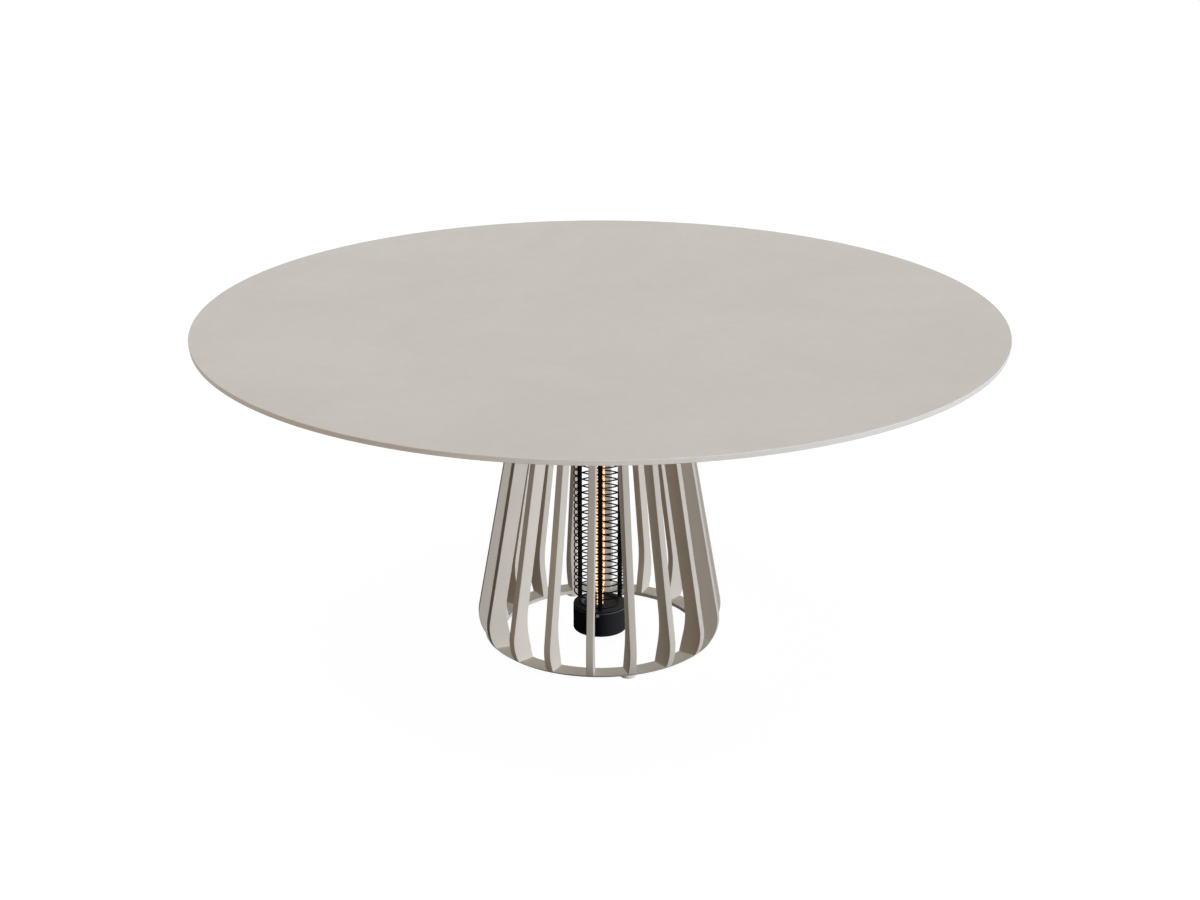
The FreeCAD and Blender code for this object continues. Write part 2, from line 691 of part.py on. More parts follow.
def main():
    os.makedirs("parts", exist_ok=True)

    save(make_slab(), "table_top")
    for i, arm in enumerate(around(make_arm(), ARM_COUNT, ARM_FIRST_AZIMUTH)):
        save(arm, f"support_arm_{i + 1}")
    save_group(around(make_arm_cap(), ARM_COUNT, ARM_FIRST_AZIMUTH), "arm_end_caps")
    save_group(make_arm_screws(), "arm_screws")
    save_group(make_pads(), "silicone_pads")
    save(make_head_plate(), "head_plate")

    slat = make_slat()
    foot_slat = slat.cut(make_foot_bore())
    for i in range(SLAT_COUNT):
        azimuth = SLAT_FIRST_AZIMUTH + i * SLAT_PITCH
        shape = foot_slat if i + 1 in FOOT_SLATS else slat
        save(at_azimuth(shape, azimuth), f"slat_{i + 1:02d}")
    for i, number in enumerate(FOOT_SLATS):
        azimuth = SLAT_FIRST_AZIMUTH + (number - 1) * SLAT_PITCH
        save(at_azimuth(make_foot_stud(), azimuth), f"foot_stud_{i + 1}")
        save(at_azimuth(make_foot_pad(), azimuth), f"foot_pad_{i + 1}")
    save(make_base_ring(), "base_ring")

    save(make_flange(), "heater_flange")
    save_group(make_flange_screws(), "heater_flange_screws")
    save(make_housing(), "heater_housing")
    save(make_cup(), "heater_cup")
    save(make_lid(), "heater_lid")
    save(make_gasket(), "lid_gasket")
    rim_heights = (CUP_TOP - COLLAR_HEIGHT / 2, FLANGE_BOTTOM - COLLAR_HEIGHT / 2)
    save_group([screw for height in rim_heights for screw in make_rim_screws(height)], "heater_rim_screws")
    for i, post in enumerate(around(make_post(), POST_COUNT, POST_FIRST_AZIMUTH)):
        save(post, f"guard_post_{i + 1}")
    save_group(make_post_nuts(), "guard_post_nuts")
    save_group(make_guard_rings(), "guard_rings")

    save_group(make_sockets(), "lamp_sockets")
    save(make_lamp_tube(), "lamp_tube")
    save_group(make_lamp_caps(), "lamp_end_caps")
    save(make_element(), "heating_element")
    save(make_terminal_block(), "terminal_block")
    save(make_thermal_cutout(), "thermal_cutout")
    save(make_gland(), "cable_gland")


main()
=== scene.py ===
import math
from typing import NamedTuple

import bmesh
import bpy
from mathutils import Matrix, Vector


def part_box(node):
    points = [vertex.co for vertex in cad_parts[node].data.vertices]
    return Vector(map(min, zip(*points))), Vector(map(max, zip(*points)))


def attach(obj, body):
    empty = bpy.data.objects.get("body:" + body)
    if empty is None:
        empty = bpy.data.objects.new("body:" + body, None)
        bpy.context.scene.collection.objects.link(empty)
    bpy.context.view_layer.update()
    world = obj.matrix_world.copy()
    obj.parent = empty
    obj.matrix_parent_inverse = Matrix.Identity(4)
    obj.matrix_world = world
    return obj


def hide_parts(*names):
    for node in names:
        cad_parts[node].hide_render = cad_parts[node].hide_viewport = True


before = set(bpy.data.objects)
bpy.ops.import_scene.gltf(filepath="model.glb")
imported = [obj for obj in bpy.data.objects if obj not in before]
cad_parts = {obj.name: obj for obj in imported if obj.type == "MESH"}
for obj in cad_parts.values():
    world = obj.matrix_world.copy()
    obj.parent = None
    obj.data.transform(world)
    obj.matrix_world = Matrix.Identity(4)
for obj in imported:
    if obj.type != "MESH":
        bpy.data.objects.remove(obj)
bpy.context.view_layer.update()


class Coat(NamedTuple):
    """Painted or moulded finish: two linear tones, range of roughness and specular level."""

    name: str
    tones: tuple
    roughness: tuple
    specular: float


class Glow(NamedTuple):
    """Glowing finish: a cooler and a hotter linear tone, and their strength."""

    name: str
    tones: tuple
    strength: float


class Sun(NamedTuple):
    """Broad lamp: its angles in degrees, and whether it casts shadows and shows in gloss."""

    name: str
    azimuth: float
    elevation: float
    level: float
    colour: tuple
    spread: float
    shadow: bool = False
    gloss: bool = False


# Sizes are in metres, and azimuths in degrees from the front, positive to the right

# Camera at the photograph's place: pitch in degrees, lens and sensor in millimetres
CAMERA_PLACE = (0.0, -5.0049, 2.2530)
CAMERA_PITCH = 19.80
CAMERA_LENS = 70.74
CAMERA_SENSOR = 36.0

# Body that the new pieces ride on
TABLE_BODY = "table"

# Numbered solids that keep their shapes
ARM_COUNT = 6
FOOT_COUNT = 4

# Slab edge
SLAB_RIM_TAPER = 0.002
SLAB_EDGE_RADIUS = 0.0012
SLAB_SEGMENTS = 384

# Slat profile, as in the solids, with rounded edges
SLAT_COUNT = 18
SLAT_FIRST_AZIMUTH = -4.7
SLAT_THICKNESS = 0.016
SLAT_DEPTH = 0.034
SLAT_FOOT_WIDTH = 0.043
SLAT_LEAN = math.radians(10.05)
SLAT_FOOT_SLOPE = math.radians(12.0)
SLAT_EDGE_RADIUS = 0.0014
BELLY_RADIUS = 0.2800
BELLY_HEIGHT = 0.060
BELLY_ARC = 0.100
BELLY_STEPS = 28
INNER_ARC = 0.200
INNER_STEPS = 14
TENON_WIDTH = 0.022
TENON_RECESS = 0.0005
RING_UNDERCUT = 0.0109

# Heater shells, as in the solids apart from soft edges, the lid's step in painted shade and its higher
# seam
SHELL_WALL = 0.002
SHELL_SEGMENTS = 128
CUP_FLOOR = 0.003
CUP_EDGE_RADIUS = 0.004
CUP_EDGE_STEPS = 6
CUP_LIP_RADIUS = 0.0009
CUP_LIP_HEIGHT = 0.0024
LID_TOP_RADIUS = 0.046
LID_EDGE_RADIUS = 0.0009
LID_EDGE_HEIGHT = 0.0005
LID_STEP = 0.0022
LID_SEAM_RISE = 0.0009
LID_THICKNESS = 0.009
LID_HOLE_RADIUS = 0.0122
DISH_RADIUS = 0.042
DISH_DEPTH = 0.006
DISH_WALL_RUN = 0.004
COLLAR_GAP = 0.0001
COLLAR_WALL = 0.0015
GASKET_WIDTH = 0.0012

# Guard: round wire and posts, both stouter than the solids'; the section is that of the solids' rings
GUARD_RING_COUNT = 31
GUARD_SECTION = 0.0028
GUARD_WIRE = 0.0032
GUARD_WIRE_SIDES = 10
GUARD_SEGMENTS = 96
POST_COUNT = 3
POST_RADIUS = 0.0053
POST_END_RADIUS = 0.0020
POST_SEAT_DEPTH = 0.0050

# Lamp: a tube that is narrower up to the neck's height above the floor, and a coil round a hot core
LAMP_RADIUS = 0.011
LAMP_WALL = 0.0012
LAMP_NECK_RADIUS = 0.0087
LAMP_NECK_TOP = 0.105
LAMP_SHOULDER = 0.004
LAMP_SEGMENTS = 48
COIL_RADIUS = 0.0088
COIL_NECK_RADIUS = 0.0066
COIL_WIRE_RADIUS = 0.0008
COIL_WIRE_SIDES = 8
COIL_PITCH = 0.0081
COIL_POINTS_PER_TURN = 20
COIL_START_AZIMUTH = 180.0
CORE_RADIUS = 0.0080
CORE_NECK_RADIUS = 0.0054
ROD_SEGMENTS = 32

# Meshing: sharpest bend that is shaded smooth, radius that counts as the axis, and the share of a side
# that one rounded corner may take
SHARP_ANGLE = math.radians(35.0)
AXIS_RADIUS = 1e-6
CORNER_SHARE = 0.48

# Finishes, in linear colours
STONE_TONES = ((0.552, 0.528, 0.486), (0.577, 0.553, 0.511), (0.599, 0.579, 0.539))
STONE_ROUGHNESS = (0.48, 0.62)
POWDER_COAT = Coat(
    "taupe_powder_coat",
    tones=((0.438, 0.404, 0.351), (0.462, 0.428, 0.373)),
    roughness=(0.60, 0.72),
    specular=0.02,
)
SATIN_BLACK = Coat(
    "satin_black",
    tones=((0.0182, 0.0198, 0.0226), (0.0220, 0.0238, 0.0268)),
    roughness=(0.36, 0.44),
    specular=0.0,
)
# Painted highlight: brighter finish on the cup's lip, standing for the light caught by its top edge
LIP_HIGHLIGHT = Coat(
    "painted_highlight_lip",
    tones=((0.086, 0.090, 0.096), (0.104, 0.109, 0.116)),
    roughness=(0.36, 0.44),
    specular=0.0,
)
# Painted light: the lid's black is lighter than the cup's, standing for the light on its top
LIT_LID_BLACK = Coat(
    "lid_black_painted_light",
    tones=((0.048, 0.0505, 0.0540), (0.058, 0.0610, 0.0650)),
    roughness=(0.40, 0.50),
    specular=0.0,
)
BLACK_WIRE = Coat(
    "black_wire",
    tones=((0.0018, 0.0019, 0.0021), (0.0032, 0.0034, 0.0038)),
    roughness=(0.40, 0.55),
    specular=0.02,
)
# Painted shade: near-black for the lid's step and the sealing ring, standing for the shadow gaps there
SHADE_BLACK = Coat(
    "painted_shade_black",
    tones=((0.0012, 0.0012, 0.0013), (0.0022, 0.0022, 0.0024)),
    roughness=(0.6, 0.7),
    specular=0.0,
)
PALE_PLASTIC = Coat(
    "pale_plastic",
    tones=((0.58, 0.56, 0.50), (0.64, 0.62, 0.56)),
    roughness=(0.40, 0.50),
    specular=0.4,
)
DARK_CERAMIC = Coat(
    "dark_ceramic",
    tones=((0.030, 0.027, 0.024), (0.042, 0.038, 0.034)),
    roughness=(0.5, 0.7),
    specular=0.0,
)
BLACKENED_STEEL = Coat(
    "blackened_steel",
    tones=((0.16, 0.16, 0.16), (0.22, 0.22, 0.22)),
    roughness=(0.30, 0.40),
    specular=0.3,
)
SCREW_STEEL = Coat(
    "screw_steel",
    tones=((0.42, 0.42, 0.42), (0.50, 0.50, 0.50)),
    roughness=(0.25, 0.38),
    specular=0.6,
)
COIL_GLOW = Glow("hot_element", tones=((1.0, 0.82, 0.50), (1.0, 0.94, 0.72)), strength=1.5)
CORE_GLOW = Glow("hot_core", tones=((0.50, 0.13, 0.03), (0.80, 0.28, 0.08)), strength=0.7)
GLOW_BASE = (0.02, 0.015, 0.012, 1.0)
GLOW_ROUGHNESS = 0.4
QUARTZ_COLOUR = (1.0, 0.93, 0.82, 1.0)
QUARTZ_GLOW = (1.0, 0.33, 0.07, 1.0)
QUARTZ_GLOW_STRENGTH = 0.1
QUARTZ_IOR = 1.1
QUARTZ_ROUGHNESS = (0.0, 0.02)

# Scales of the finishes' detail, in features to the metre, and shares of the finer detail
STONE_CLOUDS = 3.2
STONE_MOTTLE = 28.0
STONE_MOTTLE_SHARE = 0.25
STONE_GRAIN = 900.0
STONE_GRAIN_SHARE = 0.15
STONE_POLISH = 40.0
STONE_PORES = 700.0
COAT_DRIFT = 9.0
COAT_SHEEN = 120.0
COAT_PEEL = 1100.0
COAT_PEEL_SHARE = 0.2
GLOW_STRETCHES = 130.0
QUARTZ_HAZE = 60.0

# Levels between which most of a noise texture lies
NOISE_LOW = 0.3
NOISE_HIGH = 0.7

# Stage: floor, and the world's light on the table
FLOOR_SIZE = 60.0
FLOOR_WHITE = 0.89
FLOOR_SHADOW = (0.18, 0.18, 0.18, 1.0)
FLOOR_BOUNCE = (0.06, 0.06, 0.06, 1.0)
WORLD_FILL = 0.045
WORLD_TINT = (1.0, 0.80, 0.60, 1.0)
WHITE = (1.0, 1.0, 1.0, 1.0)

# Lamps for the whole table
SUN_DISTANCE = 4.0
SUNS = (
    Sun("key", 63.0, 10.0, level=1.19, colour=(0.96, 1.03, 1.14), spread=16.0),
    Sun("front_fill", 0.0, 10.0, level=0.17, colour=(1.0, 0.76, 0.56), spread=40.0, gloss=True),
    Sun("overhead", 0.0, 90.0, level=0.22, colour=(1.0, 1.0, 1.0), spread=60.0, shadow=True, gloss=True),
    Sun("overhead_fill", 0.0, 90.0, level=0.235, colour=(1.0, 0.99, 0.98), spread=40.0, gloss=True),
    Sun("back_fill", 180.0, 12.0, level=0.45, colour=(1.0, 0.92, 0.82), spread=40.0),
)

# Lamp that lifts the slab's rim on the side away from the key and lights nothing else
RIM_FILL = Sun("rim_fill", -58.0, 0.0, level=0.46, colour=(1.0, 0.90, 0.82), spread=40.0)

# Lamp for the outer edges of the last slats, which stand beside the front one, away from the key
EDGE_FILL = Sun("edge_fill", -30.0, 0.0, level=0.20, colour=(1.0, 0.92, 0.84), spread=40.0)
EDGE_FILL_SLATS = 2

# Lamp from the side for the heater's black shells, in place of the key and the front fill
HEATER_KEY = Sun("heater_key", 84.0, 10.0, level=1.25, colour=(1.0, 1.02, 1.06), spread=16.0)
HEATER_SPARED = ("key", "front_fill")


# Materials


def new_material(name, values):
    """Node material; values go straight onto the sockets of its principled shader."""
    material = bpy.data.materials.new(name)
    material.use_nodes = True
    shader = material.node_tree.nodes["Principled BSDF"]
    for socket, value in values.items():
        shader.inputs[socket].default_value = value
    return material, material.node_tree, shader


def noise(tree, scale, detail=4.0, distortion=0.0):
    """Noise over the object's own coordinates, with about this many features to the metre."""
    coordinates = tree.nodes.new("ShaderNodeTexCoord")
    texture = tree.nodes.new("ShaderNodeTexNoise")
    texture.inputs["Scale"].default_value = scale
    texture.inputs["Detail"].default_value = detail
    texture.inputs["Distortion"].default_value = distortion
    tree.links.new(coordinates.outputs["Object"], texture.inputs["Vector"])
    return texture.outputs["Fac"]


def tone_ramp(tree, factor, tones, low=NOISE_LOW, high=NOISE_HIGH):
    """Colour ramp through evenly spaced tones between two levels of a factor."""
    ramp = tree.nodes.new("ShaderNodeValToRGB")
    stops = ramp.color_ramp.elements
    while len(stops) < len(tones):
        stops.new(0.5)
    for i, tone in enumerate(tones):
        stops[i].position = low + (high - low) * i / (len(tones) - 1)
        stops[i].color = (*tone, 1.0)
    tree.links.new(factor, ramp.inputs["Fac"])
    return ramp.outputs["Color"]


def mixed(tree, share, first, second):
    """First colour with a fixed share of the second."""
    mix = tree.nodes.new("ShaderNodeMix")
    mix.data_type = "RGBA"
    mix.inputs["Factor"].default_value = share
    tree.links.new(first, mix.inputs["A"])
    tree.links.new(second, mix.inputs["B"])
    return mix.outputs["Result"]


def ranged(tree, factor, low, high):
    """Factor moved from the levels of noise to the range low..high."""
    span = tree.nodes.new("ShaderNodeMapRange")
    span.inputs["From Min"].default_value = NOISE_LOW
    span.inputs["From Max"].default_value = NOISE_HIGH
    span.inputs["To Min"].default_value = low
    span.inputs["To Max"].default_value = high
    tree.links.new(factor, span.inputs["Value"])
    return span.outputs["Result"]


def bumped(tree, shader, height, strength, distance):
    """Bump on the shader's normal."""
    bump = tree.nodes.new("ShaderNodeBump")
    bump.inputs["Strength"].default_value = strength
    bump.inputs["Distance"].default_value = distance
    tree.links.new(height, bump.inputs["Height"])
    tree.links.new(bump.outputs["Normal"], shader.inputs["Normal"])


def stone_material():
    """Pale stone: broad soft clouds, finer mottling and a faint grain."""
    material, tree, shader = new_material("pale_stone", {"IOR": 1.45, "Specular IOR Level": 0.3})
    clouds = tone_ramp(tree, noise(tree, STONE_CLOUDS, detail=5.0, distortion=0.6), STONE_TONES)
    mottle = tone_ramp(tree, noise(tree, STONE_MOTTLE, detail=6.0), STONE_TONES)
    grain = tone_ramp(tree, noise(tree, STONE_GRAIN, detail=2.0), STONE_TONES, low=0.2, high=0.8)
    colour = mixed(tree, STONE_MOTTLE_SHARE, clouds, mottle)
    colour = mixed(tree, STONE_GRAIN_SHARE, colour, grain)
    polish = ranged(tree, noise(tree, STONE_POLISH), *STONE_ROUGHNESS)
    tree.links.new(colour, shader.inputs["Base Color"])
    tree.links.new(polish, shader.inputs["Roughness"])
    bumped(tree, shader, noise(tree, STONE_PORES, detail=3.0), strength=0.08, distance=0.0004)
    return material


def coat_material(coat):
    """Coated or moulded surface: slight drift of tone and a fine orange-peel texture."""
    material, tree, shader = new_material(coat.name, {"Specular IOR Level": coat.specular})
    drift = tone_ramp(tree, noise(tree, COAT_DRIFT), coat.tones)
    peel = noise(tree, COAT_PEEL, detail=2.0)
    colour = mixed(tree, COAT_PEEL_SHARE, drift, tone_ramp(tree, peel, coat.tones))
    sheen = ranged(tree, noise(tree, COAT_SHEEN), *coat.roughness)
    tree.links.new(colour, shader.inputs["Base Color"])
    tree.links.new(sheen, shader.inputs["Roughness"])
    bumped(tree, shader, peel, strength=0.12, distance=0.0003)
    return material


def glow_material(glow):
    """Glowing element: hotter and cooler stretches."""
    values = {
        "Base Color": GLOW_BASE,
        "Roughness": GLOW_ROUGHNESS,
        "Emission Strength": glow.strength,
    }
    material, tree, shader = new_material(glow.name, values)
    heat = tone_ramp(tree, noise(tree, GLOW_STRETCHES), glow.tones)
    tree.links.new(heat, shader.inputs["Emission Color"])
    return material


def quartz_material():
    """Amber quartz that glows faintly with the element inside it."""
    values = {
        "Base Color": QUARTZ_COLOUR,
        "Transmission Weight": 1.0,
        "IOR": QUARTZ_IOR,
        "Emission Color": QUARTZ_GLOW,
        "Emission Strength": QUARTZ_GLOW_STRENGTH,
    }
    material, tree, shader = new_material("amber_quartz", values)
    haze = ranged(tree, noise(tree, QUARTZ_HAZE), *QUARTZ_ROUGHNESS)
    tree.links.new(haze, shader.inputs["Roughness"])
    return material


# Mesh makers


def direction(azimuth):
    """Outward direction at an azimuth."""
    angle = math.radians(azimuth)
    return Vector((math.sin(angle), -math.cos(angle), 0.0))


def lift(height):
    """Offset straight up by a height."""
    return Vector((0.0, 0.0, height))


def rounded(outline, radius, steps=4):
    """Open outline of (r, z) points with every inner corner turned into an arc."""
    result = [outline[0]]
    for before, corner, after in zip(outline, outline[1:], outline[2:]):
        corner = Vector(corner)
        back = Vector(before) - corner
        ahead = Vector(after) - corner
        half = back.angle(ahead) / 2
        most = CORNER_SHARE * min(back.length, ahead.length)
        run = min(radius / math.tan(half), most)
        reach = run * math.tan(half)
        middle = (back.normalized() + ahead.normalized()).normalized()
        centre = corner + middle * math.hypot(run, reach)
        start = corner + back.normalized() * run - centre
        end = corner + ahead.normalized() * run - centre
        for k in range(steps + 1):
            spoke = start.slerp(end, k / steps).normalized() * reach
            result.append(tuple(centre + spoke))
    return result + [outline[-1]]


def arc_points(centre, radius, start, end, steps):
    """Points of an arc in the (r, z) plane between two angles."""
    angles = [start + (end - start) * k / steps for k in range(steps + 1)]
    return [(centre[0] + radius * math.cos(a), centre[1] + radius * math.sin(a)) for a in angles]


def inset(outline, distance):
    """Closed outline moved inwards, for an outline that runs anticlockwise."""
    result = []
    for i, point in enumerate(outline):
        here = Vector(point)
        back = (here - Vector(outline[i - 1])).normalized()
        ahead = (Vector(outline[(i + 1) % len(outline)]) - here).normalized()
        first = Vector((-back.y, back.x))
        second = Vector((-ahead.y, ahead.x))
        result.append(here + (first + second) * distance / (1.0 + first.dot(second)))
    return result


def lathe_mesh(name, outline, segments, closed=False):
    """Mesh of revolution about the axis; a point on the axis becomes a single vertex."""
    mesh = bpy.data.meshes.new(name)
    build = bmesh.new()
    loops = []
    for r, z in outline:
        if r < AXIS_RADIUS:
            loops.append([build.verts.new((0.0, 0.0, z))])
            continue
        spokes = [direction(360.0 * i / segments) * r for i in range(segments)]
        loops.append([build.verts.new((p.x, p.y, z)) for p in spokes])
    pairs = list(zip(loops, loops[1:]))
    if closed:
        pairs.append((loops[-1], loops[0]))
    for low, high in pairs:
        for i in range(segments):
            j = (i + 1) % segments
            places = ((low, i), (low, j), (high, j), (high, i))
            corners = [loop[k % len(loop)] for loop, k in places]
            build.faces.new(list(dict.fromkeys(corners)))
    build.to_mesh(mesh)
    build.free()
    return mesh


def plate_mesh(name, outline, thickness, edge_radius, azimuth, steps=3):
    """Upright radial plate of an (r, z) outline with rounded edges all round."""
    mesh = bpy.data.meshes.new(name)
    build = bmesh.new()
    out = direction(azimuth)
    across = direction(azimuth + 90.0)
    layers = []
    for k in range(steps + 1):
        turn = math.pi / 2 * k / steps
        sunk = edge_radius * (1.0 - math.sin(turn))
        layers.append((sunk, thickness / 2 - edge_radius * (1.0 - math.cos(turn))))
    layers += [(sunk, -offset) for sunk, offset in reversed(layers)]
    loops = []
    for sunk, offset in layers:
        points = inset(outline, sunk)
        side = across * offset
        loops.append([build.verts.new(out * p.x + side + lift(p.y)) for p in points])
    for low, high in zip(loops, loops[1:]):
        for i in range(len(outline)):
            j = (i + 1) % len(outline)
            build.faces.new((low[i], low[j], high[j], high[i]))
    build.faces.new(loops[0])
    build.faces.new(loops[-1])
    build.to_mesh(mesh)
    build.free()
    return mesh


def swept_mesh(name, paths, radius, sides, closed):
    """Round wire along each list of points in paths."""
    mesh = bpy.data.meshes.new(name)
    build = bmesh.new()
    turns = [2 * math.pi * k / sides for k in range(sides)]
    for points in paths:
        count = len(points)
        loops = []
        for i, point in enumerate(points):
            after = points[(i + 1) % count] if closed else points[min(i + 1, count - 1)]
            before = points[i - 1] if closed else points[max(i - 1, 0)]
            along = (after - before).normalized()
            outward = Vector((point.x, point.y, 0.0)).normalized()
            upward = outward.cross(along).normalized()
            outward = along.cross(upward)
            spokes = [(outward * math.cos(t) + upward * math.sin(t)) * radius for t in turns]
            loops.append([build.verts.new(point + spoke) for spoke in spokes])
        pairs = list(zip(loops, loops[1:]))
        if closed:
            pairs.append((loops[-1], loops[0]))
        for low, high in pairs:
            for k in range(sides):
                m = (k + 1) % sides
                build.faces.new((low[k], low[m], high[m], high[k]))
        if not closed:
            build.faces.new(loops[0])
            build.faces.new(loops[-1])
    build.to_mesh(mesh)
    build.free()
    return mesh


def finish_piece(mesh, material, node):
    """Piece from a finished mesh: smooth, with flat faces kept flat, in the place of a solid."""
    normals = bmesh.new()
    normals.from_mesh(mesh)
    bmesh.ops.recalc_face_normals(normals, faces=normals.faces)
    normals.to_mesh(mesh)
    normals.free()
    mesh.shade_smooth()
    mesh.set_sharp_from_angle(angle=SHARP_ANGLE)
    mesh.materials.append(material)
    piece = bpy.data.objects.new(mesh.name, mesh)
    bpy.context.scene.collection.objects.link(piece)
    weighted = piece.modifiers.new("flat_faces", "WEIGHTED_NORMAL")
    weighted.keep_sharp = True
    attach(piece, TABLE_BODY)
    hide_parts(node)
    return piece


# Table top and slats


def make_table_top(material):
    """Slab with a tapered rim and soft edges."""
    low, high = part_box("table_top")
    rim = high.x
    outline = [(0.0, low.z), (rim - SLAB_RIM_TAPER, low.z), (rim, high.z), (0.0, high.z)]
    mesh = lathe_mesh("stone_top", rounded(outline, SLAB_EDGE_RADIUS), SLAB_SEGMENTS)
    return finish_piece(mesh, material, "table_top")


def slat_outline():
    """Slat profile, anticlockwise: foot tenon, belly, leaning edge, head tenon, inner edge."""
    ring_low, ring_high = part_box("base_ring")
    head_low, head_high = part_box("head_plate")
    belly = (BELLY_RADIUS - BELLY_ARC, ring_low.z + BELLY_HEIGHT)
    low_angle = math.asin((ring_high.z - belly[1]) / BELLY_ARC)
    outer = arc_points(belly, BELLY_ARC, low_angle, SLAT_LEAN, BELLY_STEPS)
    tangent = outer[-1]
    head_outer = tangent[0] - (head_low.z - tangent[1]) * math.tan(SLAT_LEAN)
    head_inner = head_outer - SLAT_DEPTH
    foot_outer = outer[0][0]
    foot_inner = foot_outer - SLAT_FOOT_WIDTH

    # Inner edge: the leaning line and the foot's slope meet in an arc
    rise = head_low.z - ring_high.z
    lean = math.tan(SLAT_LEAN)
    slope = math.tan(SLAT_FOOT_SLOPE)
    meet = (head_inner - foot_inner + rise * lean) / (lean + slope)
    corner = Vector((foot_inner + meet * slope, ring_high.z + meet))
    half = (SLAT_LEAN + SLAT_FOOT_SLOPE) / 2
    tilt = (SLAT_LEAN - SLAT_FOOT_SLOPE) / 2
    centre = corner - Vector((math.cos(tilt), math.sin(tilt))) * INNER_ARC / math.cos(half)
    inner = arc_points(centre, INNER_ARC, SLAT_LEAN, -SLAT_FOOT_SLOPE, INNER_STEPS)

    half_tenon = TENON_WIDTH / 2
    foot_middle = (foot_outer - RING_UNDERCUT + foot_inner) / 2
    head_middle = head_outer - SLAT_DEPTH / 2
    foot = [
        (foot_inner, ring_high.z),
        (foot_middle - half_tenon, ring_high.z),
        (foot_middle - half_tenon, ring_low.z + TENON_RECESS),
        (foot_middle + half_tenon, ring_low.z + TENON_RECESS),
        (foot_middle + half_tenon, ring_high.z),
    ]
    head = [
        (head_outer, head_low.z),
        (head_middle + half_tenon, head_low.z),
        (head_middle + half_tenon, head_high.z - TENON_RECESS),
        (head_middle - half_tenon, head_high.z - TENON_RECESS),
        (head_middle - half_tenon, head_low.z),
        (head_inner, head_low.z),
    ]
    return foot + outer + head + inner


def make_slats(material):
    """Ring of slats with rounded edges, counted from the front one to the right."""
    outline = slat_outline()
    pieces = []
    for i in range(SLAT_COUNT):
        azimuth = SLAT_FIRST_AZIMUTH + i * 360.0 / SLAT_COUNT
        name = f"coated_slat_{i + 1:02d}"
        mesh = plate_mesh(name, outline, SLAT_THICKNESS, SLAT_EDGE_RADIUS, azimuth)
        pieces.append(finish_piece(mesh, material, f"slat_{i + 1:02d}"))
    return pieces


# Heater


def make_cup(material, lip_highlight_material):
    """Cup with a soft lower edge and a lip painted brighter as a highlight."""
    low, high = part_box("heater_cup")
    inner = high.x - SHELL_WALL
    lip_start = (high.x, high.z - CUP_LIP_HEIGHT)
    wall = [(0.0, low.z), (high.x, low.z), lip_start]
    lip = [lip_start, (high.x, high.z), (inner, high.z), (inner, low.z + CUP_FLOOR)]
    outline = rounded(wall, CUP_EDGE_RADIUS, CUP_EDGE_STEPS) + rounded(lip, CUP_LIP_RADIUS)[1:]
    outline.append((0.0, low.z + CUP_FLOOR))
    mesh = lathe_mesh("coated_cup", outline, SHELL_SEGMENTS)
    piece = finish_piece(mesh, material, "heater_cup")
    piece.data.materials.append(lip_highlight_material)
    # Painted highlight: the faces of the lip take the brighter finish
    for face in piece.data.polygons:
        if face.center.z > high.z - CUP_LIP_HEIGHT:
            face.material_index = 1
    return piece


def make_lid(material, step_shade_material):
    """Lid with a dished top, a step below it in painted shade, and a sloping shoulder, soft at the
    edges.
    """
    low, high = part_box("heater_lid")
    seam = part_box("lid_gasket")[1].z + LID_SEAM_RISE
    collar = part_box("heater_cup")[1].x - SHELL_WALL - COLLAR_GAP
    outside = [
        (LID_HOLE_RADIUS, high.z - DISH_DEPTH),
        (DISH_RADIUS - DISH_WALL_RUN, high.z - DISH_DEPTH),
        (DISH_RADIUS, high.z),
        (LID_TOP_RADIUS, high.z),
        (LID_TOP_RADIUS, high.z - LID_STEP),
        (high.x, seam + LID_EDGE_HEIGHT),
        (high.x, seam),
    ]
    inside = [
        (collar, seam),
        (collar, low.z),
        (collar - COLLAR_WALL, low.z),
        (collar - COLLAR_WALL, high.z - LID_THICKNESS),
        (LID_HOLE_RADIUS, high.z - LID_THICKNESS),
    ]
    outline = rounded(outside, LID_EDGE_RADIUS) + inside
    mesh = lathe_mesh("coated_lid", outline, SHELL_SEGMENTS, closed=True)
    piece = finish_piece(mesh, material, "heater_lid")
    piece.data.materials.append(step_shade_material)
    # Painted shade: the step's faces take the near-black finish
    for face in piece.data.polygons:
        beside_step = abs(face.center.xy.length - LID_TOP_RADIUS) < LID_EDGE_RADIUS
        if beside_step and face.center.z < high.z - LID_EDGE_RADIUS / 2:
            face.material_index = 1
    return piece


def make_gasket(material):
    """Sealing ring between the cup's lip and the lid, black as painted shade at the seam."""
    low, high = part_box("lid_gasket")
    seam = high.z + LID_SEAM_RISE
    inner = high.x - GASKET_WIDTH
    outline = [(inner, low.z), (high.x, low.z), (high.x, seam), (inner, seam)]
    mesh = lathe_mesh("sealing_ring", outline, SHELL_SEGMENTS, closed=True)
    return finish_piece(mesh, material, "lid_gasket")


def make_guard(material):
    """Stack of round wire rings at the levels of the solids' rings."""
    low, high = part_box("guard_rings")
    radius = high.x - GUARD_WIRE / 2
    first = low.z + GUARD_SECTION / 2
    pitch = (high.z - low.z - GUARD_SECTION) / (GUARD_RING_COUNT - 1)
    azimuths = [360.0 * k / GUARD_SEGMENTS for k in range(GUARD_SEGMENTS)]
    rings = []
    for i in range(GUARD_RING_COUNT):
        height = lift(first + i * pitch)
        rings.append([direction(azimuth) * radius + height for azimuth in azimuths])
    mesh = swept_mesh("guard_wire", rings, GUARD_WIRE / 2, GUARD_WIRE_SIDES, closed=True)
    finish_piece(mesh, material, "guard_rings")


